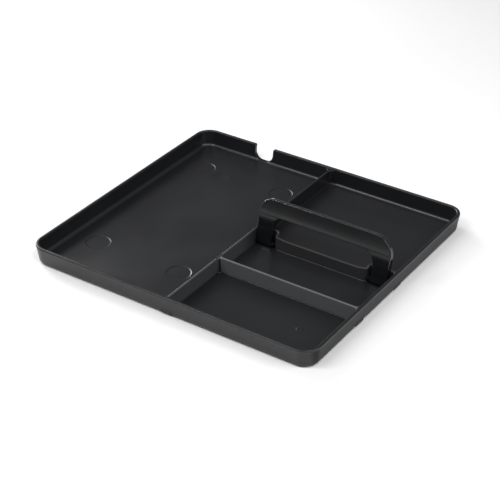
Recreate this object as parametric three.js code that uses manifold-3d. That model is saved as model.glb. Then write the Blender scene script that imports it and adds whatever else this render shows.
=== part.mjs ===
// Moulded desk tray with four bays and a fold-down carrying handle.
// Millimetres, +Z up, +X to the right, -Y to the front. Origin at the centre of the footprint.
import * as THREE from 'three';
import { mergeVertices } from 'three/addons/utils/BufferGeometryUtils.js';
import Module from 'manifold-3d';

const wasm = await Module();
wasm.setup();

// Tray outline
const TRAY_W = 300;
const TRAY_D = 276;
const RIM_Z = 18.9;
const BASE_Z = 0.5;
const FLOOR_Z = 2.8;
const CORNER_R = 16;
const LIP_OUT = 0.6;
const LIP_TALL = 3;
const RIM_WIDTH = 3.4;
const OUTER_FOOT_INSET = 2.2;
const INNER_FOOT_INSET = 4.8;
const BASE_EDGE_R = 3;
const RIM_EDGE_R = 0.7;
const FLOOR_FILLET_R = 3.5;
const DIVIDER_FILLET_R = 2.5;
const HANDLE_BAY_FILLET_R = 1;
const HANDLE_SLOT_CORNER_R = 1.2;
const HANDLE_SLOT_RELIEF = 0.2;

// Dividers
const DIVIDER_TOP_Z = 17.2;
const DIVIDER_TOP_T = 2.2;
const DIVIDER_FOOT_T = 3;
const BAY_CORNER_R = 4;
const LONG_DIVIDER_X = 2.8;
const FRONT_DIVIDER_Y = -56.4;
const REAR_DIVIDER_FRONT_Y = 0.2;
const REAR_DIVIDER_T = 2.4;
const REAR_DIVIDER_MID_Z = 14.5;
const HANDLE_STOP_T = 2.2;

// Handle
const HANDLE_LEAN = THREE.MathUtils.degToRad(15);
const HANDLE_T = 5.4;
const HANDLE_CENTRE_X = 73;
const HANDLE_W = 137.2;
const LEG_W = 16.3;
const HANDLE_RISE = 42.5;
const BAR_H = 16;
const HANDLE_OUTER_R = 16;
const HANDLE_INNER_R = 10;
const HANDLE_EDGE_R = 1;
const PIVOT_Y = 2.2;
const PIVOT_Z = FLOOR_Z + HANDLE_T / 2 + 0.6;

// Hinge hardware
const PIN_R = 1.2;
const PIN_FIT = 0.25;
const PIN_IN_LEG = 12;
const LEG_TO_BLOCK = 3;
const BLOCK_W = 8;
const BUSH_R = 2.4;
const RUNNING_GAP = 0.3;

// Cable notch in the rear wall
const NOTCH_X = -74.5;
const NOTCH_W = 21;
const NOTCH_BOTTOM_Z = 5;
const NOTCH_R = 8.5;

// Round marks on the floor, and the pads under the tray
const DISC_XS = [-117, -25];
const DISC_YS = [-80, 88.5];
const DISC_R = 12;
const DISC_H = 0.6;
const DISH_AT = [-93.6, 83.1];
const DISH_R = 9.7;
const DISH_DEPTH = 0.5;
const GATE_AT = [111, -92.4];
const GATE_R = 3.3;
const GATE_H = 0.35;
const RIGHT_PAD_X = 117;
const PAD_R = 8;
const PAD_T = 1.3;
const PAD_RECESS_GAP = 0.3;
const ROUND_SEGMENTS = 32;

const OVERCUT = 5;

// Solids ------------------------------------------------------------------

function toSolid(geometry) {
  const bare = geometry.clone();
  bare.deleteAttribute('normal');
  bare.deleteAttribute('uv');
  const merged = mergeVertices(bare, 1e-4);
  const vertProperties = new Float32Array(merged.attributes.position.array);
  const triVerts = new Uint32Array(merged.index.array);
  return new wasm.Manifold(new wasm.Mesh({ numProp: 3, vertProperties, triVerts }));
}

function toGeometry(solid) {
  const mesh = solid.getMesh();
  const geometry = new THREE.BufferGeometry();
  geometry.setAttribute('position', new THREE.BufferAttribute(mesh.vertProperties, 3));
  geometry.setIndex(new THREE.BufferAttribute(mesh.triVerts, 1));
  geometry.computeVertexNormals();
  return geometry;
}

// A box between two corners.
function boxBetween(low, high) {
  const size = high.map((v, i) => v - low[i]);
  const centre = high.map((v, i) => (v + low[i]) / 2);
  return toSolid(new THREE.BoxGeometry(...size).translate(...centre));
}

function roundedRect(width, depth, radius, arcSteps) {
  const shape = new THREE.Shape();
  const cx = width / 2 - radius;
  const cy = depth / 2 - radius;
  shape.absarc(cx, cy, radius, 0, Math.PI / 2);
  shape.absarc(-cx, cy, radius, Math.PI / 2, Math.PI);
  shape.absarc(-cx, -cy, radius, Math.PI, 1.5 * Math.PI);
  shape.absarc(cx, -cy, radius, 1.5 * Math.PI, 2 * Math.PI);
  return new THREE.Shape(shape.getPoints(arcSteps));
}

// A rounded rectangle whose outline is drawn in by a different inset at each level of its profile.
function draftedPrism(low, high, radius, profile, arcSteps = 8) {
  const width = high[0] - low[0];
  const depth = high[1] - low[1];
  const levels = profile.length - 1;
  const outline = roundedRect(width, depth, radius, arcSteps);
  const geometry = new THREE.ExtrudeGeometry(outline, { depth: levels, steps: levels, bevelEnabled: false });
  const position = geometry.attributes.position;
  const reach = [width / 2 - radius, depth / 2 - radius];
  for (let i = 0; i < position.count; i += 1) {
    const level = profile[Math.round(position.getZ(i))];
    const x = position.getX(i);
    const y = position.getY(i);
    const cx = THREE.MathUtils.clamp(x, -reach[0], reach[0]);
    const cy = THREE.MathUtils.clamp(y, -reach[1], reach[1]);
    const keep = (radius - level.inset) / radius;
    position.setXYZ(i, cx + (x - cx) * keep, cy + (y - cy) * keep, level.z);
  }
  geometry.translate((low[0] + high[0]) / 2, (low[1] + high[1]) / 2, 0);
  return toSolid(geometry);
}

// Profile levels of a quarter round from (inset, z) = (edge + r, foot) to (edge, foot + r).
function footRound(edge, foot, r, steps) {
  const levels = [];
  for (let i = 0; i <= steps; i += 1) {
    const a = (i / steps) * (Math.PI / 2);
    levels.push({ z: foot + r * (1 - Math.cos(a)), inset: edge + r * (1 - Math.sin(a)) });
  }
  return levels;
}

// A turned solid about a vertical axis, from half-profile points [radius, z].
function turned(points, segments = ROUND_SEGMENTS) {
  const profile = points.map(([r, z]) => new THREE.Vector2(r, z));
  return new THREE.LatheGeometry(profile, segments).rotateX(Math.PI / 2);
}

// A plain round bar along X from x0 to x1, with a small chamfer at each end.
function barAlongX(radius, x0, x1, y, z, chamfer = 0) {
  const points = [[0, x0], [radius - chamfer, x0], [radius, x0 + chamfer], [radius, x1 - chamfer],
    [radius - chamfer, x1], [0, x1]];
  const profile = chamfer > 0 ? points : [[0, x0], [radius, x0], [radius, x1], [0, x1]];
  const lathe = new THREE.LatheGeometry(profile.map(([r, h]) => new THREE.Vector2(r, h)), 24);
  return lathe.rotateZ(-Math.PI / 2).translate(0, y, z);
}

// Tray ----------------------------------------------------------------------

const half = { x: TRAY_W / 2, y: TRAY_D / 2 };

function trayOuter() {
  const profile = [
    ...footRound(OUTER_FOOT_INSET, BASE_Z, BASE_EDGE_R, 5),
    { z: RIM_Z - LIP_TALL - 0.5, inset: LIP_OUT + 0.2 },
    { z: RIM_Z - LIP_TALL, inset: 0 },
    { z: RIM_Z - RIM_EDGE_R, inset: 0 },
    { z: RIM_Z - RIM_EDGE_R * 0.3, inset: RIM_EDGE_R * 0.3 },
    { z: RIM_Z, inset: RIM_EDGE_R },
  ];
  return draftedPrism([-half.x, -half.y], [half.x, half.y], CORNER_R, profile);
}

// The whole hollow inside the outer walls, before the dividers are left standing in it.
function trayHollow() {
  const rim = RIM_WIDTH;
  const profile = [
    ...footRound(INNER_FOOT_INSET - rim, FLOOR_Z, FLOOR_FILLET_R, 5),
    { z: RIM_Z - RIM_EDGE_R, inset: 0 },
    { z: RIM_Z, inset: -RIM_EDGE_R },
    { z: RIM_Z + OVERCUT, inset: -RIM_EDGE_R },
  ];
  return draftedPrism([rim - half.x, rim - half.y], [half.x - rim, half.y - rim], CORNER_R - rim, profile);
}

// One bay's own prism, drafted like the dividers; it reaches past the hollow where a wall bounds it.
function bayPrism(low, high, fillet = DIVIDER_FILLET_R) {
  const foot = (DIVIDER_FOOT_T - DIVIDER_TOP_T) / 2;
  const profile = [
    ...footRound(foot, FLOOR_Z, fillet, 4),
    { z: DIVIDER_TOP_Z, inset: 0 },
    { z: RIM_Z + OVERCUT, inset: 0 },
  ];
  return draftedPrism(low, high, BAY_CORNER_R, profile, 5);
}

// A straight-sided slot behind one leg of the handle, up to its stop.
function slotPrism(low, high) {
  const profile = [
    ...footRound(0, FLOOR_Z, HANDLE_BAY_FILLET_R, 3),
    { z: RIM_Z + OVERCUT, inset: 0 },
  ];
  return draftedPrism(low, high, HANDLE_SLOT_CORNER_R, profile, 4);
}

const beyond = { x: half.x + OVERCUT, y: half.y + OVERCUT };
const longLeft = LONG_DIVIDER_X - DIVIDER_TOP_T / 2;
const longRight = LONG_DIVIDER_X + DIVIDER_TOP_T / 2;
const frontOfFront = FRONT_DIVIDER_Y - DIVIDER_TOP_T / 2;
const rearOfFront = FRONT_DIVIDER_Y + DIVIDER_TOP_T / 2;

const legInner = HANDLE_W / 2 - LEG_W;
const leftLeg = { outer: HANDLE_CENTRE_X - HANDLE_W / 2, inner: HANDLE_CENTRE_X - legInner };
const rightLeg = { outer: HANDLE_CENTRE_X + HANDLE_W / 2, inner: HANDLE_CENTRE_X + legInner };
const leftBlock = { near: leftLeg.inner + LEG_TO_BLOCK, far: leftLeg.inner + LEG_TO_BLOCK + BLOCK_W };
const rightBlock = { near: rightLeg.inner - LEG_TO_BLOCK, far: rightLeg.inner - LEG_TO_BLOCK - BLOCK_W };

// The back of the standing handle at the height of its stops.
const handleBackY = PIVOT_Y + HANDLE_T / 2 / Math.cos(HANDLE_LEAN)
  + (DIVIDER_TOP_Z - PIVOT_Z) * Math.tan(HANDLE_LEAN);
const stopFrontY = handleBackY + RUNNING_GAP;
const stopBackY = stopFrontY + HANDLE_STOP_T;
const rearDividerBackY = REAR_DIVIDER_FRONT_Y + REAR_DIVIDER_T;

function bays() {
  const deepSlot = 20;
  const bayFloor = [
    bayPrism([-beyond.x, -beyond.y], [longLeft, beyond.y]),
    bayPrism([longRight, -beyond.y], [beyond.x, frontOfFront]),
    bayPrism([longRight, rearOfFront], [beyond.x, REAR_DIVIDER_FRONT_Y], HANDLE_BAY_FILLET_R),
    slotPrism([longRight - HANDLE_SLOT_RELIEF, stopFrontY - deepSlot], [leftBlock.near, stopFrontY]),
    slotPrism([rightBlock.near, stopFrontY - deepSlot], [beyond.x, stopFrontY]),
    bayPrism([longRight, stopBackY], [beyond.x, beyond.y]),
    bayPrism([leftBlock.far, rearDividerBackY], [rightBlock.far, stopBackY + deepSlot]),
  ];
  return bayFloor.reduce((all, bay) => all.add(bay)).intersect(trayHollow());
}

// What is cut away above the dividers: flat over most of them, dished between the two handle stops.
function aboveDividers() {
  const flat = boxBetween([-beyond.x, -beyond.y, DIVIDER_TOP_Z], [beyond.x, beyond.y, RIM_Z + OVERCUT]);
  const stopBand = boxBetween(
    [longRight, REAR_DIVIDER_FRONT_Y - 3, DIVIDER_TOP_Z - 3],
    [beyond.x, stopBackY + 2, RIM_Z + OVERCUT],
  );
  const run = 10;
  const top = new THREE.Shape();
  top.moveTo(longRight, DIVIDER_TOP_Z);
  top.lineTo(leftBlock.near, DIVIDER_TOP_Z);
  top.bezierCurveTo(leftBlock.near + run / 2, DIVIDER_TOP_Z, leftBlock.near + run / 2, REAR_DIVIDER_MID_Z,
    leftBlock.near + run * 1.4, REAR_DIVIDER_MID_Z);
  top.lineTo(rightBlock.near - run * 1.4, REAR_DIVIDER_MID_Z);
  top.bezierCurveTo(rightBlock.near - run / 2, REAR_DIVIDER_MID_Z, rightBlock.near - run / 2, DIVIDER_TOP_Z,
    rightBlock.near, DIVIDER_TOP_Z);
  top.lineTo(beyond.x, DIVIDER_TOP_Z);
  top.lineTo(beyond.x, RIM_Z + OVERCUT);
  top.lineTo(longRight, RIM_Z + OVERCUT);
  const deep = stopBackY + 2 - (REAR_DIVIDER_FRONT_Y - 3);
  const dished = new THREE.ExtrudeGeometry(top, { depth: deep, bevelEnabled: false, curveSegments: 6 });
  dished.rotateX(Math.PI / 2).translate(0, stopBackY + 2, 0);
  return flat.subtract(stopBand).add(toSolid(dished)).intersect(trayHollow());
}

function notch() {
  const shape = new THREE.Shape();
  const side = NOTCH_W / 2;
  const flare = 1.5;
  const centreZ = NOTCH_BOTTOM_Z + NOTCH_R;
  shape.moveTo(side + flare, RIM_Z + OVERCUT);
  shape.lineTo(side + flare, RIM_Z);
  shape.quadraticCurveTo(side, RIM_Z, side, RIM_Z - flare);
  shape.lineTo(side, centreZ);
  shape.absarc(side - NOTCH_R, centreZ, NOTCH_R, 0, -Math.PI / 2, true);
  shape.absarc(NOTCH_R - side, centreZ, NOTCH_R, -Math.PI / 2, -Math.PI, true);
  shape.lineTo(-side, RIM_Z - flare);
  shape.quadraticCurveTo(-side, RIM_Z, -side - flare, RIM_Z);
  shape.lineTo(-side - flare, RIM_Z + OVERCUT);
  const deep = 20;
  const cut = new THREE.ExtrudeGeometry(shape, { depth: deep, bevelEnabled: false, curveSegments: 6 });
  cut.rotateX(Math.PI / 2).translate(NOTCH_X, half.y + OVERCUT, 0);
  return toSolid(cut);
}

// A low round plateau with a sloped edge, standing on the floor.
function plateau(x, y, radius, height) {
  const sunk = FLOOR_Z - 0.8;
  const top = FLOOR_Z + height;
  const points = [[0, sunk], [radius, sunk], [radius, FLOOR_Z], [radius - height, top], [0, top]];
  return toSolid(turned(points).translate(x, y, 0));
}

function dish() {
  const bottom = FLOOR_Z - DISH_DEPTH;
  const above = FLOOR_Z + 1;
  const points = [[0, bottom], [DISH_R - 1, bottom], [DISH_R, FLOOR_Z], [DISH_R, above], [0, above]];
  return toSolid(turned(points).translate(...DISH_AT, 0));
}

const discPlaces = DISC_XS.flatMap((x) => DISC_YS.map((y) => [x, y]));
const padPlaces = [...discPlaces, ...DISC_YS.map((y) => [RIGHT_PAD_X, y])];
const padTopZ = PAD_T;

function padRecess(x, y) {
  const r = PAD_R + PAD_RECESS_GAP;
  const top = padTopZ + PAD_RECESS_GAP;
  const points = [[0, BASE_Z - 1], [r, BASE_Z - 1], [r, top], [0, top]];
  return toSolid(turned(points).translate(x, y, 0));
}

function pinBore(x0, x1) {
  return toSolid(barAlongX(PIN_R + PIN_FIT, Math.min(x0, x1), Math.max(x0, x1), PIVOT_Y, PIVOT_Z));
}

function trayGeometry() {
  let tray = trayOuter().subtract(bays()).subtract(aboveDividers()).subtract(notch());
  for (const [x, y] of discPlaces) tray = tray.add(plateau(x, y, DISC_R, DISC_H));
  tray = tray.add(plateau(...GATE_AT, GATE_R, GATE_H)).subtract(dish());
  for (const [x, y] of padPlaces) tray = tray.subtract(padRecess(x, y));
  tray = tray.subtract(pinBore(leftBlock.near - 1, leftBlock.far + 1));
  tray = tray.subtract(pinBore(rightBlock.near + 1, rightBlock.far - 1));
  return toGeometry(tray);
}

// Handle: a U-shaped plate, drawn about its pivot axis and then leaned back against the stops.

function handleOutline() {
  const w = HANDLE_W / 2 - HANDLE_EDGE_R;
  const top = HANDLE_RISE - HANDLE_EDGE_R;
  const r = HANDLE_OUTER_R - HANDLE_EDGE_R;
  const innerW = legInner + HANDLE_EDGE_R;
  const innerTop = HANDLE_RISE - BAR_H + HANDLE_EDGE_R;
  const innerR = HANDLE_INNER_R + HANDLE_EDGE_R;
  const shape = new THREE.Shape();
  shape.moveTo(-w, 0);
  shape.lineTo(-innerW, 0);
  shape.lineTo(-innerW, innerTop - innerR);
  shape.absarc(innerR - innerW, innerTop - innerR, innerR, Math.PI, Math.PI / 2, true);
  shape.absarc(innerW - innerR, innerTop - innerR, innerR, Math.PI / 2, 0, true);
  shape.lineTo(innerW, 0);
  shape.lineTo(w, 0);
  shape.lineTo(w, top - r);
  shape.absarc(w - r, top - r, r, 0, Math.PI / 2);
  shape.absarc(r - w, top - r, r, Math.PI / 2, Math.PI);
  return shape;
}

function handleGeometry() {
  const plate = new THREE.ExtrudeGeometry(handleOutline(), {
    depth: HANDLE_T - 2 * HANDLE_EDGE_R,
    bevelThickness: HANDLE_EDGE_R,
    bevelSize: HANDLE_EDGE_R,
    bevelSegments: 3,
    curveSegments: 10,
  });
  plate.rotateX(Math.PI / 2).translate(0, HANDLE_T / 2 - HANDLE_EDGE_R, 0);
  const w = HANDLE_W / 2;
  const belowPivot = boxBetween([-w - 1, -HANDLE_T, -HANDLE_T], [w + 1, HANDLE_T, 0]);
  let handle = toSolid(plate).subtract(belowPivot);
  for (const side of [-1, 1]) {
    const legs = [side * w, side * legInner].sort((a, b) => a - b);
    handle = handle.add(toSolid(barAlongX(HANDLE_T / 2, ...legs, 0, 0, HANDLE_EDGE_R / 2)));
    const bore = [side * (legInner - 1), side * (legInner + PIN_IN_LEG + RUNNING_GAP)].sort((a, b) => a - b);
    handle = handle.subtract(toSolid(barAlongX(PIN_R + PIN_FIT, ...bore, 0, 0)));
  }
  return toGeometry(handle);
}

// Hinge hardware ---------------------------------------------------------------

function pinGeometry(leg, block, direction) {
  const ends = [leg.inner - direction * PIN_IN_LEG, block.far - direction * RUNNING_GAP];
  return barAlongX(PIN_R, Math.min(...ends), Math.max(...ends), 0, 0, 0.25);
}

// A plain spacer ring on the pin, between the leg and its block.
function bushGeometry() {
  const reach = (LEG_TO_BLOCK - 2 * RUNNING_GAP) / 2;
  const bore = PIN_R + PIN_FIT;
  const edge = 0.2;
  const points = [[bore, -reach], [BUSH_R - edge, -reach], [BUSH_R, edge - reach], [BUSH_R, reach - edge],
    [BUSH_R - edge, reach], [bore, reach], [bore, -reach]];
  const profile = points.map(([r, h]) => new THREE.Vector2(r, h));
  return new THREE.LatheGeometry(profile, ROUND_SEGMENTS).rotateZ(-Math.PI / 2);
}

function padGeometry() {
  const edge = 0.3;
  return turned([[0, 0], [PAD_R - edge, 0], [PAD_R, edge], [PAD_R, padTopZ], [0, padTopZ]]);
}

// Materials and assembly -----------------------------------------------------------

function plastic(color, roughness) {
  return new THREE.MeshStandardMaterial({ color, roughness, metalness: 0 });
}

function part(name, geometry, material, place = [0, 0, 0]) {
  const mesh = new THREE.Mesh(geometry, material);
  mesh.name = name;
  mesh.position.set(...place);
  return mesh;
}

const product = new THREE.Group();
product.add(part('tray', trayGeometry(), plastic(0x1b1c1e, 0.35)));

const handle = part('handle', handleGeometry(), plastic(0x141517, 0.15), [HANDLE_CENTRE_X, PIVOT_Y, PIVOT_Z]);
handle.rotation.x = -HANDLE_LEAN;
product.add(handle);

const hinges = [['left', leftLeg, leftBlock, 1], ['right', rightLeg, rightBlock, -1]];
for (const [side, leg, block, direction] of hinges) {
  const axis = [0, PIVOT_Y, PIVOT_Z];
  product.add(part(`hinge_pin_${side}`, pinGeometry(leg, block, direction), plastic(0x111112, 0.45), axis));
  const bushX = (leg.inner + block.near) / 2;
  product.add(part(`pivot_bush_${side}`, bushGeometry(), plastic(0x0c0c0d, 0.5), [bushX, PIVOT_Y, PIVOT_Z]));
}

const padNames = ['front_left', 'rear_left', 'front_middle', 'rear_middle', 'front_right', 'rear_right'];
padPlaces.forEach(([x, y], i) => {
  product.add(part(`grip_pad_${padNames[i]}`, padGeometry(), plastic(0x202020, 0.9), [x, y, 0]));
});

export default product;
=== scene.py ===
import math

import bmesh
import bpy
from mathutils import Matrix, Vector


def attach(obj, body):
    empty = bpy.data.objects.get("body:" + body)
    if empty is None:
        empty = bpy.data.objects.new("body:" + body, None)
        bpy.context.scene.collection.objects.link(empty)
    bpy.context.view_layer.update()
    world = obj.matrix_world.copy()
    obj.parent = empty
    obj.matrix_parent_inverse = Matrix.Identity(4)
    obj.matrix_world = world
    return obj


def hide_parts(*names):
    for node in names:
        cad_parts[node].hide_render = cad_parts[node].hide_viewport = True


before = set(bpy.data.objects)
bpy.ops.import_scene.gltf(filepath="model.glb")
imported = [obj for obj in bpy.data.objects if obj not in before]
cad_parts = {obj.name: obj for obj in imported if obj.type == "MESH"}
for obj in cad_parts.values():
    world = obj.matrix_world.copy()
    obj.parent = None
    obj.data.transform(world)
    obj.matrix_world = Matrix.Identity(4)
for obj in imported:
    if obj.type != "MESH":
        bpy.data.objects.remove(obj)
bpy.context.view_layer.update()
MM = 0.001

# ---------------------------------------------------------------- camera and framing

CAMERA_AT = (0.61506, -0.91897, 0.69852)
CAMERA_AZIMUTH = 33.87
CAMERA_DOWN = 32.53
LENS_MM = 101.585


def make_camera():
    data = bpy.data.cameras.new("camera")
    data.lens = LENS_MM
    data.sensor_width = 36.0
    data.clip_start = 0.01
    data.clip_end = 50.0
    camera = bpy.data.objects.new("camera", data)
    camera.location = CAMERA_AT
    camera.rotation_euler = (math.radians(90 - CAMERA_DOWN), 0, math.radians(CAMERA_AZIMUTH))
    bpy.context.scene.collection.objects.link(camera)
    bpy.context.scene.camera = camera


make_camera()
bpy.context.scene.view_settings.view_transform = "Standard"

# ---------------------------------------------------------------- sizes, in millimetres

TRAY_W = 300.0
TRAY_D = 276.0
RIM_Z = 18.9
BASE_Z = 0.5
FLOOR_Z = 2.8
CORNER_R = 16.0
RIM_W = 3.3
OUTER_DRAFT = 2.0
INNER_DRAFT = 1.4
FOOT_R = 3.2
FLOOR_FILLET = 4.0

DIVIDER_Z = 17.2
DIVIDER_T = 2.2
DIVIDER_FOOT_DRAFT = 0.4
DIVIDER_FILLET = 0.6
BAY_CORNER = 4.0
LONG_X = 2.8
FRONT_Y = -56.4
REAR_Y = 1.9
STOP_Y = 9.4
MID_Z = 14.5

PIVOT = Vector((0.0, 2.2, 6.1))
LEAN = math.radians(15.7)
HANDLE_L = 4.4
HANDLE_R = 141.6
HANDLE_T = 5.3
HANDLE_RISE = 42.5
HANDLE_BAR = 16.0
HANDLE_CROWN = 0.5
LEG_L_IN = 20.9
LEG_R_IN = 125.3
HANDLE_OUT_R = (12.5, 19.0)
HANDLE_IN_R = (8.0, 13.0)
HANDLE_EDGE = 0.8
HANDLE_FOOT_R = 1.2

LIP_H = 2.6
RIM_EDGE_R = 1.1
DIVIDER_END = RIM_W + 0.4
JOG_L_GAP = 4.2
JOG_R_GAP = 4.4
JOG_R = 3.0
JOG_FADE = 12.0

NOTCH_X = -74.7
NOTCH_HALF_W = 10.6
NOTCH_LIP_R = 1.6
NOTCH_BOTTOM_Z = 3.6
NOTCH_R = 8.5

DISC_XS = (-117.0, -25.0)
DISC_YS = (-80.0, 88.5)
DISC_R = 12.0
DISC_DEPTH = 0.5
DISC_EDGE = 1.2
DISH_AT = (-93.6, 83.1)
DISH_R = 9.6
DISH_DEPTH = 0.55
GATE_AT = (111.0, -92.4)
GATE_R = 3.2
GATE_H = 0.4
GATE_EDGE = 0.25

# ---------------------------------------------------------------- mesh helpers


def new_object(name, points, faces, smooth_angle=35):
    """A mesh object from points in millimetres, with creases above smooth_angle left sharp."""
    mesh = bpy.data.meshes.new(name)
    mesh.from_pydata([(x * MM, y * MM, z * MM) for x, y, z in points], [], faces)
    obj = bpy.data.objects.new(name, mesh)
    bpy.context.scene.collection.objects.link(obj)
    tidy(obj, smooth_angle)
    return obj


def tidy(obj, smooth_angle=35):
    bm = bmesh.new()
    bm.from_mesh(obj.data)
    bmesh.ops.remove_doubles(bm, verts=bm.verts, dist=1e-7)
    bmesh.ops.recalc_face_normals(bm, faces=bm.faces)
    limit = math.radians(smooth_angle)
    for face in bm.faces:
        face.smooth = True
    for edge in bm.edges:
        edge.smooth = len(edge.link_faces) == 2 and edge.calc_face_angle(0.0) < limit
    bm.to_mesh(obj.data)
    bm.free()


def apply_modifiers(obj):
    bpy.context.view_layer.update()
    graph = bpy.context.evaluated_depsgraph_get()
    mesh = bpy.data.meshes.new_from_object(obj.evaluated_get(graph))
    obj.modifiers.clear()
    obj.data = mesh


def weighted(obj):
    modifier = obj.modifiers.new("even_normals", "WEIGHTED_NORMAL")
    modifier.keep_sharp = True
    modifier.weight = 60


def join(name, objects):
    """One object from several, keeping their sharp edges."""
    bm = bmesh.new()
    for obj in objects:
        bm.from_mesh(obj.data)
    mesh = bpy.data.meshes.new(name)
    bm.to_mesh(mesh)
    bm.free()
    for obj in objects:
        bpy.data.objects.remove(obj)
    joined = bpy.data.objects.new(name, mesh)
    bpy.context.scene.collection.objects.link(joined)
    return joined


def loft(rings, cap_first=True, cap_last=True):
    """Points and faces through closed rings that all have the same number of points."""
    count = len(rings[0])
    points = [p for ring in rings for p in ring]
    faces = []
    for k in range(len(rings) - 1):
        a = k * count
        for i in range(count):
            j = (i + 1) % count
            faces.append((a + i, a + j, a + count + j, a + count + i))
    if cap_first:
        faces.append(tuple(reversed(range(count))))
    if cap_last:
        faces.append(tuple(range(len(points) - count, len(points))))
    return points, faces


def arc(cx, cy, r, a0, a1, steps):
    """Points on an arc in degrees, each with its outward normal."""
    out = []
    for i in range(steps + 1):
        a = math.radians(a0 + (a1 - a0) * i / steps)
        out.append((cx + r * math.cos(a), cy + r * math.sin(a), math.cos(a), math.sin(a)))
    return out


def rounded_rect(w, d, r, steps=16):
    cx, cy = w / 2 - r, d / 2 - r
    outline = []
    for sx, sy, start in ((1, 1, 0), (-1, 1, 90), (-1, -1, 180), (1, -1, 270)):
        outline += arc(sx * cx, sy * cy, r, start, start + 90, steps)
    return outline


def inset_ring(outline, inset, z):
    return [(x - nx * inset, y - ny * inset, z) for x, y, nx, ny in outline]


def quarter(r, steps, kind):
    """Pairs (across, up) of a quarter round; kind says which way it turns."""
    pairs = []
    for i in range(steps + 1):
        a = math.pi / 2 * i / steps
        pairs.append((r * (1 - math.sin(a)), r * (1 - math.cos(a))) if kind == "foot"
                     else (r * (1 - math.cos(a)), r * math.sin(a)))
    return pairs


# ---------------------------------------------------------------- tray shell


def tray_profile():
    """(inset, z) from the middle of the underside, over the rim, to the floor inside."""
    profile = []
    for across, up in quarter(FOOT_R, 6, "foot"):
        profile.append((OUTER_DRAFT + across, BASE_Z + up))
    lip_z = RIM_Z - LIP_H
    profile.append((0.42, lip_z - 0.5))
    profile.append((0.36, lip_z - 0.15))
    profile.append((0.12, lip_z + 0.1))
    profile.append((0.05, lip_z + 0.35))
    r = RIM_EDGE_R
    for across, up in quarter(r, 6, "brow"):
        profile.append((0.0 + across, RIM_Z - r + up))
    for across, up in reversed(quarter(r, 6, "brow")):
        profile.append((RIM_W - across, RIM_Z - r + up))
    inner_foot = RIM_W + INNER_DRAFT
    for across, up in reversed(quarter(FLOOR_FILLET, 10, "foot")):
        profile.append((inner_foot + across, FLOOR_Z + up))
    return profile


def make_shell():
    outline = rounded_rect(TRAY_W, TRAY_D, CORNER_R)
    rings = [inset_ring(outline, inset, z) for inset, z in tray_profile()]
    return new_object("shell", *loft(rings))


def notch_cutter():
    half, top_r, bottom, r = NOTCH_HALF_W, NOTCH_LIP_R, NOTCH_BOTTOM_Z, NOTCH_R
    shape = [(half + top_r + 0.01, RIM_Z + 6)]
    for i in range(7):
        a = math.pi / 2 * i / 6
        shape.append((half + top_r * (1 - math.sin(a)), RIM_Z - top_r * (1 - math.cos(a))))
    for i in range(13):
        a = -math.pi / 2 * i / 12
        shape.append((half - r + r * math.cos(a), bottom + r + r * math.sin(a)))
    shape += [(-x, z) for x, z in reversed(shape)]
    front = [(NOTCH_X + x, TRAY_D / 2 - 12, z) for x, z in shape]
    back = [(NOTCH_X + x, TRAY_D / 2 + 8, z) for x, z in shape]
    return new_object("notch_cutter", *loft([front, back]))


def dish_cutter(x, y, r, depth):
    rings = []
    for k in range(1, 9):
        t = k / 8
        height = FLOOR_Z - depth * (1 - t ** 2.4)
        rings.append([(x + r * t * math.cos(a), y + r * t * math.sin(a), height)
                      for a in (2 * math.pi * i / 48 for i in range(48))])
    rings.append([(px, py, FLOOR_Z + 3) for px, py, _ in rings[-1]])
    return new_object("dish_cutter", *loft(rings))


def cut(obj, cutter):
    modifier = obj.modifiers.new("cut", "BOOLEAN")
    modifier.operation = "DIFFERENCE"
    modifier.solver = "EXACT"
    modifier.object = cutter
    apply_modifiers(obj)
    bpy.data.objects.remove(cutter)
    tidy(obj)


def recess_cutter(x, y, r, depth, edge, segments=64):
    """Cuts a shallow round recess with a flat bottom and a softly rounded side into the floor."""
    profile = [(r - edge + edge * k / 6, FLOOR_Z - depth * (1 - smooth_step(k / 6))) for k in range(7)]
    profile.append((r, FLOOR_Z + 3))
    rings = [[(x + pr * math.cos(a), y + pr * math.sin(a), z)
              for a in (2 * math.pi * i / segments for i in range(segments))] for pr, z in profile]
    return new_object("recess_cutter", *loft(rings))


def gate_mark(x, y, r, height, edge, segments=32):
    """The low round mark that the moulding gate leaves on the floor."""
    profile = [(r + 0.25, -0.3), (r + 0.18, 0.0), (r + 0.04, 0.06)]
    for across, up in quarter(edge, 5, "brow"):
        profile.append((r - across, height - edge + up))
    rings = [[(x + pr * math.cos(a), y + pr * math.sin(a), FLOOR_Z + pz)
              for a in (2 * math.pi * i / segments for i in range(segments))] for pr, pz in profile]
    return new_object("gate_mark", *loft(rings))


# ---------------------------------------------------------------- dividers


def side_lines(path, half):
    """The two sides of a strip that follows path, half wide each way, with their outward normals."""
    left, right = [], []
    for i, (x, y) in enumerate(path):
        x0, y0 = path[max(i - 1, 0)]
        x1, y1 = path[min(i + 1, len(path) - 1)]
        length = math.hypot(x1 - x0, y1 - y0)
        nx, ny = -(y1 - y0) / length, (x1 - x0) / length
        left.append((x + nx * half[i], y + ny * half[i]))
        right.append((x - nx * half[i], y - ny * half[i]))

    def with_normals(line, sign):
        out = []
        for i, (x, y) in enumerate(line):
            x0, y0 = line[max(i - 1, 0)]
            x1, y1 = line[min(i + 1, len(line) - 1)]
            length = math.hypot(x1 - x0, y1 - y0)
            out.append((x, y, -sign * (y1 - y0) / length, sign * (x1 - x0) / length))
        return out

    return with_normals(left, 1), with_normals(right, -1)


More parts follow.
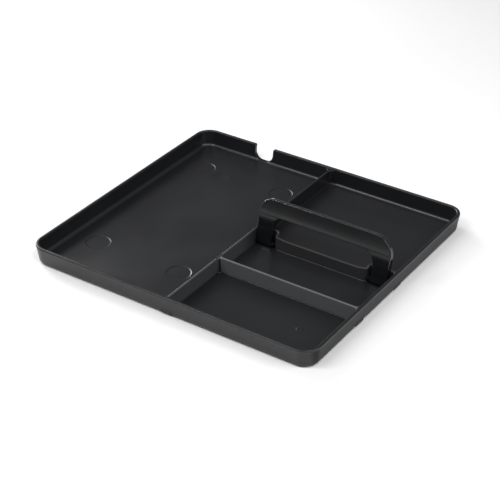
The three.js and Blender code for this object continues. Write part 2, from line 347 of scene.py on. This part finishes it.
def divider(name, path, half, tops, edge=0.75):
    """A standing wall along path, its top edges rounded and its foot faired into the floor."""
    levels = [("foot", DIVIDER_FOOT_DRAFT + DIVIDER_FILLET, FLOOR_Z - 0.6)]
    for across, up in quarter(DIVIDER_FILLET, 7, "foot"):
        levels.append(("foot", DIVIDER_FOOT_DRAFT + across, FLOOR_Z + up))
    for across, up in quarter(edge, 5, "brow"):
        levels.append(("top", -across, up - edge))
    left, right = side_lines(path, half)
    sections = []
    for i in range(len(path)):
        section = []
        for kind, out, z in levels:
            height = z if kind == "foot" else tops[i] + z
            x, y, nx, ny = left[i]
            section.append((x + nx * out, y + ny * out, height))
        for kind, out, z in reversed(levels):
            height = z if kind == "foot" else tops[i] + z
            x, y, nx, ny = right[i]
            section.append((x + nx * out, y + ny * out, height))
        sections.append(section)
    return new_object(name, *loft(sections))


def flare(distance):
    """Extra half width at a distance from the wall that a divider grows out of."""
    if distance >= BAY_CORNER:
        return 0.0
    return BAY_CORNER - math.sqrt(max(BAY_CORNER ** 2 - (BAY_CORNER - max(distance, 0)) ** 2, 0))


def stations(a, b, fine_a, fine_b, coarse=12):
    """Positions from a to b, close together near each end that fine_a or fine_b asks for."""
    steps = [0, 0.15, 0.4, 0.8, 1.3, 2.0, 2.8, 3.4, 4.0]
    out = [a + s for s in steps] if fine_a else [a]
    last = [b - s for s in reversed(steps)] if fine_b else [b]
    lo, hi = out[-1], last[0]
    out += [lo + (hi - lo) * i / coarse for i in range(1, coarse)]
    return out + last


def long_divider():
    y0, y1 = -TRAY_D / 2 + DIVIDER_END, TRAY_D / 2 - DIVIDER_END
    ys = [y0 - 2] + stations(y0, y1, True, True) + [y1 + 2]
    path = [(LONG_X, y) for y in ys]
    half = [DIVIDER_T / 2 + flare(min(y - y0, y1 - y)) for y in ys]
    return divider("long_divider", path, half, [DIVIDER_Z] * len(path))


def front_divider():
    x0, x1 = LONG_X + DIVIDER_T / 2, TRAY_W / 2 - DIVIDER_END
    xs = [x0 - 1.6] + stations(x0, x1, True, True) + [x1 + 2]
    path = [(x, FRONT_Y) for x in xs]
    half = [DIVIDER_T / 2 + flare(min(x - x0, x1 - x)) for x in xs]
    return divider("front_divider", path, half, [DIVIDER_Z] * len(path))


def smooth_step(t):
    t = min(max(t, 0.0), 1.0)
    return t * t * (3 - 2 * t)


def rear_divider():
    """Set back behind each leg of the handle, and forward and lower between the legs."""
    x0, x1 = LONG_X + DIVIDER_T / 2, TRAY_W / 2 - DIVIDER_END
    jog_l, jog_r = LEG_L_IN + JOG_L_GAP, LEG_R_IN - JOG_R_GAP
    r = JOG_R
    step = STOP_Y - REAR_Y
    path = [(x0 - 1.6, STOP_Y)]
    path += [(x, STOP_Y) for x in stations(x0, jog_l - r, True, False, 5)]
    path += [(px, py) for px, py, _, _ in arc(jog_l - r, STOP_Y - r, r, 90, 0, 8)][1:]
    path += [(px, py) for px, py, _, _ in arc(jog_l + r, REAR_Y + r, r, 180, 270, 8)]
    path += [(x, REAR_Y) for x in stations(jog_l + r, jog_r - r, False, False, 14)][1:]
    path += [(px, py) for px, py, _, _ in arc(jog_r - r, REAR_Y + r, r, 270, 360, 8)][1:]
    path += [(px, py) for px, py, _, _ in arc(jog_r + r, STOP_Y - r, r, 180, 90, 8)]
    path += [(x, STOP_Y) for x in stations(jog_r + r, x1, False, True, 4)][1:]
    path += [(x1 + 2, STOP_Y)]
    half = [DIVIDER_T / 2 + flare(min(x - x0, x1 - x)) for x, _ in path]
    tops = []
    for x, y in path:
        inside = smooth_step((STOP_Y - y) / step) * 0.5
        inside += 0.5 * smooth_step(min(x - jog_l, jog_r - x) / JOG_FADE)
        tops.append(DIVIDER_Z + (MID_Z - DIVIDER_Z) * inside)
    return divider("rear_divider", path, half, tops)


def make_tray():
    shell = make_shell()
    cut(shell, notch_cutter())
    cut(shell, dish_cutter(*DISH_AT, DISH_R, DISH_DEPTH))
    for x in DISC_XS:
        for y in DISC_YS:
            cut(shell, recess_cutter(x, y, DISC_R, DISC_DEPTH, DISC_EDGE))
    pieces = [shell, long_divider(), front_divider(), rear_divider()]
    pieces.append(gate_mark(*GATE_AT, GATE_R, GATE_H, GATE_EDGE))
    tray = join("tray_body", pieces)
    weighted(tray)
    return tray


# ---------------------------------------------------------------- handle


def handle_outline():
    """(x, up, nx, nup) around the plate, starting at the foot of the left leg's outside."""
    top, bar = HANDLE_RISE, HANDLE_RISE - HANDLE_BAR
    foot = -HANDLE_T / 2
    toe = HANDLE_FOOT_R
    out = []
    out += arc(HANDLE_L + toe, foot + toe, toe, 270, 180, 3)
    left, right = HANDLE_OUT_R
    out += arc(HANDLE_L + left, top - left, left, 180, 90, 18)
    out += arc(HANDLE_R - right, top - right, right, 90, 0, 18)
    out += arc(HANDLE_R - toe, foot + toe, toe, 0, -90, 3)
    out += arc(LEG_R_IN + toe, foot + toe, toe, 270, 180, 3)
    rr = HANDLE_IN_R[1]
    out += [(x, z, -nx, -nz) for x, z, nx, nz in arc(LEG_R_IN - rr, bar - rr, rr, 0, 90, 14)]
    rl = HANDLE_IN_R[0]
    out += [(x, z, -nx, -nz) for x, z, nx, nz in arc(LEG_L_IN + rl, bar - rl, rl, 90, 180, 12)]
    out += arc(LEG_L_IN - toe, foot + toe, toe, 0, -90, 3)
    return out


def crown(up):
    """How far the front face stands proud of flat at a height above the pivot."""
    low, high = -HANDLE_T / 2, HANDLE_RISE
    t = min(max((up - low) / (high - low), 0.0), 1.0)
    return HANDLE_CROWN * 4 * t * (1 - t)


def slice_plate(obj, heights):
    """Cuts the plate's big faces across at these heights, so that its front can be crowned."""
    bm = bmesh.new()
    bm.from_mesh(obj.data)
    for z in heights:
        bmesh.ops.bisect_plane(bm, geom=bm.verts[:] + bm.edges[:] + bm.faces[:], dist=1e-7,
                               plane_co=(0, 0, z * MM), plane_no=(0, 0, 1))
    for vert in bm.verts:
        if vert.co.y < 0:
            share = min(-vert.co.y / (HANDLE_T / 2 * MM), 1.0)
            vert.co.y -= crown(vert.co.z / MM) * share * MM
    bm.to_mesh(obj.data)
    bm.free()


def make_handle():
    outline = handle_outline()
    t = HANDLE_T / 2
    rings = []
    turns = [math.pi / 2 * i / 5 for i in range(6)]
    profile = [(HANDLE_EDGE * (1 - math.sin(a)), -t + HANDLE_EDGE * (1 - math.cos(a))) for a in turns]
    profile += [(inset, -depth) for inset, depth in reversed(profile)]
    for inset, depth in profile:
        ring = []
        for x, up, nx, nup in outline:
            pz = up - nup * inset
            room = t if pz > 0 else math.sqrt(max(t * t - pz * pz, 0.01))
            ring.append((x - nx * inset, max(-room, min(room, depth)), pz))
        rings.append(ring)
    handle = new_object("carry_handle", *loft(rings), 30)
    slice_plate(handle, [0.5 + 1.5 * i for i in range(28)])
    turn = Matrix.Translation(PIVOT * MM) @ Matrix.Rotation(-LEAN, 4, "X")
    handle.data.transform(turn)
    tidy(handle, 30)
    weighted(handle)
    return handle


# ---------------------------------------------------------------- materials


def node_material(name):
    material = bpy.data.materials.new(name)
    material.use_nodes = True
    nodes, links = material.node_tree.nodes, material.node_tree.links
    return material, nodes, links, nodes["Principled BSDF"]


def black_plastic(name, colour, roughness, grain_scale, grain_depth, rough_var=0.05):
    material, nodes, links, shader = node_material(name)
    shader.inputs["IOR"].default_value = 1.5
    place = nodes.new("ShaderNodeTexCoord")
    blotch = nodes.new("ShaderNodeTexNoise")
    blotch.inputs["Scale"].default_value = 14.0
    blotch.inputs["Detail"].default_value = 4.0
    links.new(place.outputs["Object"], blotch.inputs["Vector"])
    tint = nodes.new("ShaderNodeValToRGB")
    low = [c * 0.8 for c in colour]
    high = [c * 1.2 for c in colour]
    tint.color_ramp.elements[0].color = (*low, 1)
    tint.color_ramp.elements[1].color = (*high, 1)
    links.new(blotch.outputs["Fac"], tint.inputs["Fac"])
    links.new(tint.outputs["Color"], shader.inputs["Base Color"])
    spread = nodes.new("ShaderNodeMapRange")
    spread.inputs["From Min"].default_value = 0.3
    spread.inputs["From Max"].default_value = 0.7
    spread.inputs["To Min"].default_value = roughness - rough_var
    spread.inputs["To Max"].default_value = roughness + rough_var
    links.new(blotch.outputs["Fac"], spread.inputs["Value"])
    links.new(spread.outputs["Result"], shader.inputs["Roughness"])
    if grain_depth > 0:
        grain = nodes.new("ShaderNodeTexNoise")
        grain.inputs["Scale"].default_value = grain_scale
        grain.inputs["Detail"].default_value = 2.0
        links.new(place.outputs["Object"], grain.inputs["Vector"])
        bump = nodes.new("ShaderNodeBump")
        bump.inputs["Strength"].default_value = 1.0
        bump.inputs["Distance"].default_value = grain_depth
        links.new(grain.outputs["Fac"], bump.inputs["Height"])
        links.new(bump.outputs["Normal"], shader.inputs["Normal"])
    return material


def remap(nodes, links, value, source, target):
    """A value carried from one range to another; the target's first end may be a socket."""
    node = nodes.new("ShaderNodeMapRange")
    links.new(value, node.inputs["Value"])
    node.inputs["From Min"].default_value, node.inputs["From Max"].default_value = source
    for name, end in zip(("To Min", "To Max"), target):
        if isinstance(end, float):
            node.inputs[name].default_value = end
        else:
            links.new(end, node.inputs[name])
    return node.outputs["Result"]


def multiply(nodes, links, sockets):
    total = sockets[0]
    for socket in sockets[1:]:
        both = nodes.new("ShaderNodeMath")
        both.operation = "MULTIPLY"
        links.new(total, both.inputs[0])
        links.new(socket, both.inputs[1])
        total = both.outputs[0]
    return total


def painted_divider_light_and_dull_sides(material):
    """The dividers carry a rougher finish and painted light: their faces get lighter painted greys that
    stand in for light reflected onto them, fading out towards the rear along the long divider; the tray's
    outer sides are duller.
    """
    nodes, links = material.node_tree.nodes, material.node_tree.links
    shader = nodes["Principled BSDF"]
    place = next(n for n in nodes if n.bl_idname == "ShaderNodeTexCoord")
    split = nodes.new("ShaderNodeSeparateXYZ")
    links.new(place.outputs["Object"], split.inputs["Vector"])
    x, y, z = split.outputs["X"], split.outputs["Y"], split.outputs["Z"]

    def between(socket, low, high, soft=0.2):
        rise = remap(nodes, links, socket, ((low - soft) * MM, (low + soft) * MM), (0.0, 1.0))
        fall = remap(nodes, links, socket, ((high - soft) * MM, (high + soft) * MM), (1.0, 0.0))
        return multiply(nodes, links, [rise, fall])

    standing = between(z, FLOOR_Z + 0.7, RIM_Z + 5)
    right_bays = between(x, LONG_X + 2, TRAY_W / 2 - RIM_W - 1.2)
    # painted light: the front divider, the long divider (fading out towards the rear) and the rear divider
    # faces, each painted a grey for reflected light
    painted_light_zones = (
        [between(y, FRONT_Y - 1.8, FRONT_Y + 1.8), right_bays],
        [between(x, LONG_X - 1.8, LONG_X + 1.8), between(y, -TRAY_D / 2 + RIM_W + 2, TRAY_D / 2),
         remap(nodes, links, y, ((REAR_Y - 25) * MM, (REAR_Y + 12) * MM), (1.0, 0.0))],
        [between(y, REAR_Y - 3, STOP_Y + 3), right_bays],
    )
    colour = shader.inputs["Base Color"].links[0].from_socket
    rough = shader.inputs["Roughness"].links[0].from_socket
    # painted light: each divider zone is mixed towards its painted grey and a rougher finish
    for painted_grey, parts in zip(DIVIDER_PAINTED_LIGHT_GREYS, painted_light_zones):
        painted_light_mask = multiply(nodes, links, parts + [standing])
        mix = nodes.new("ShaderNodeMixRGB")
        links.new(painted_light_mask, mix.inputs["Fac"])
        links.new(colour, mix.inputs["Color1"])
        mix.inputs["Color2"].default_value = (painted_grey, painted_grey * 1.03, painted_grey * 1.1, 1)
        colour = mix.outputs["Color"]
        rough = remap(nodes, links, painted_light_mask, (0.0, 1.0), (rough, DIVIDER_ROUGH))
    links.new(colour, shader.inputs["Base Color"])
    links.new(rough, shader.inputs["Roughness"])

    size = nodes.new("ShaderNodeMath")
    size.operation = "ABSOLUTE"
    links.new(x, size.inputs[0])
    half = TRAY_W / 2
    outside = remap(nodes, links, size.outputs[0], ((half - 5) * MM, (half - 2) * MM), (0.0, 1.0))
    below_rim = between(z, -5, RIM_Z - 1.8, 0.4)
    dull = multiply(nodes, links, [outside, below_rim])
    links.new(remap(nodes, links, dull, (0.0, 1.0), (0.5, SIDE_SHINE)), shader.inputs["Specular IOR Level"])


def dull_material(name, colour, roughness, shine):
    material = black_plastic(name, colour, roughness, 3000, 0.000004)
    material.node_tree.nodes["Principled BSDF"].inputs["Specular IOR Level"].default_value = shine
    return material


# painted light: greys for light reflected onto the front, long and rear divider faces
DIVIDER_PAINTED_LIGHT_GREYS = (0.095, 0.042, 0.022)
DIVIDER_ROUGH = 0.5
SIDE_SHINE = 0.12
TRAY_PLASTIC = black_plastic("tray_plastic", (0.0085, 0.009, 0.0105), 0.33, 2600, 0.000006)
painted_divider_light_and_dull_sides(TRAY_PLASTIC)
HANDLE_PLASTIC = black_plastic("handle_plastic", (0.006, 0.0065, 0.0075), 0.11, 1200, 0.0, 0.02)
PIN = dull_material("pin_plastic", (0.004, 0.004, 0.004), 0.7, 0.12)
BUSH = dull_material("bush_plastic", (0.003, 0.003, 0.003), 0.75, 0.1)
RUBBER = dull_material("pad_rubber", (0.02, 0.02, 0.02), 0.8, 0.3)

# ---------------------------------------------------------------- pieces

tray = make_tray()
tray.data.materials.append(TRAY_PLASTIC)
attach(tray, "base")
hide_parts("tray")

handle = make_handle()
handle.data.materials.append(HANDLE_PLASTIC)
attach(handle, "carry_handle")
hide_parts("handle")

for name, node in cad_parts.items():
    if name in ("tray", "handle"):
        continue
    node.data.materials.clear()
    node.data.materials.append(PIN if "pin" in name else BUSH if "bush" in name else RUBBER)

# ---------------------------------------------------------------- stage and light


TABLE_HALF = 6000.0


def make_floor():
    points = [(x * TABLE_HALF, y * TABLE_HALF, 0) for x, y in ((-1, -1), (1, -1), (1, 1), (-1, 1))]
    floor = new_object("floor", points, [(0, 1, 2, 3)])
    material, _, _, shader = node_material("table")
    shader.inputs["Base Color"].default_value = (0.9, 0.9, 0.9, 1)
    shader.inputs["Roughness"].default_value = 0.8
    shader.inputs["Specular IOR Level"].default_value = 0.1
    floor.data.materials.append(material)


def soft_box(name, azimuth, elevation, size, power, distance=1.4):
    """An area light aimed at the tray; azimuth turns clockwise from straight behind it."""
    data = bpy.data.lights.new(name, "AREA")
    data.shape = "RECTANGLE"
    data.size, data.size_y = size
    data.energy = power
    light = bpy.data.objects.new(name, data)
    a, e = math.radians(azimuth), math.radians(elevation)
    at = Vector((math.cos(e) * math.sin(a), math.cos(e) * math.cos(a), math.sin(e))) * distance
    light.location = at
    light.rotation_euler = (-at).to_track_quat("-Z", "Y").to_euler()
    bpy.context.scene.collection.objects.link(light)


def make_lights():
    soft_box("left_low", -70, 12, (0.75, 0.4), 12)
    soft_box("left", -75, 33, (0.65, 0.5), 7)
    soft_box("right", 80, 33, (0.65, 0.5), 6)
    soft_box("front_right_high", 120, 58, (0.65, 0.6), 7)
    soft_box("front_left_high", -160, 58, (0.65, 0.6), 6)
    soft_box("front_left_small", -140, 44, (0.2, 0.15), 3)


def make_world():
    world = bpy.data.worlds.new("studio")
    bpy.context.scene.world = world
    world.use_nodes = True
    back = world.node_tree.nodes["Background"]
    back.inputs["Color"].default_value = (1.0, 1.0, 1.0, 1)
    back.inputs["Strength"].default_value = 0.2


make_floor()
make_world()
make_lights()
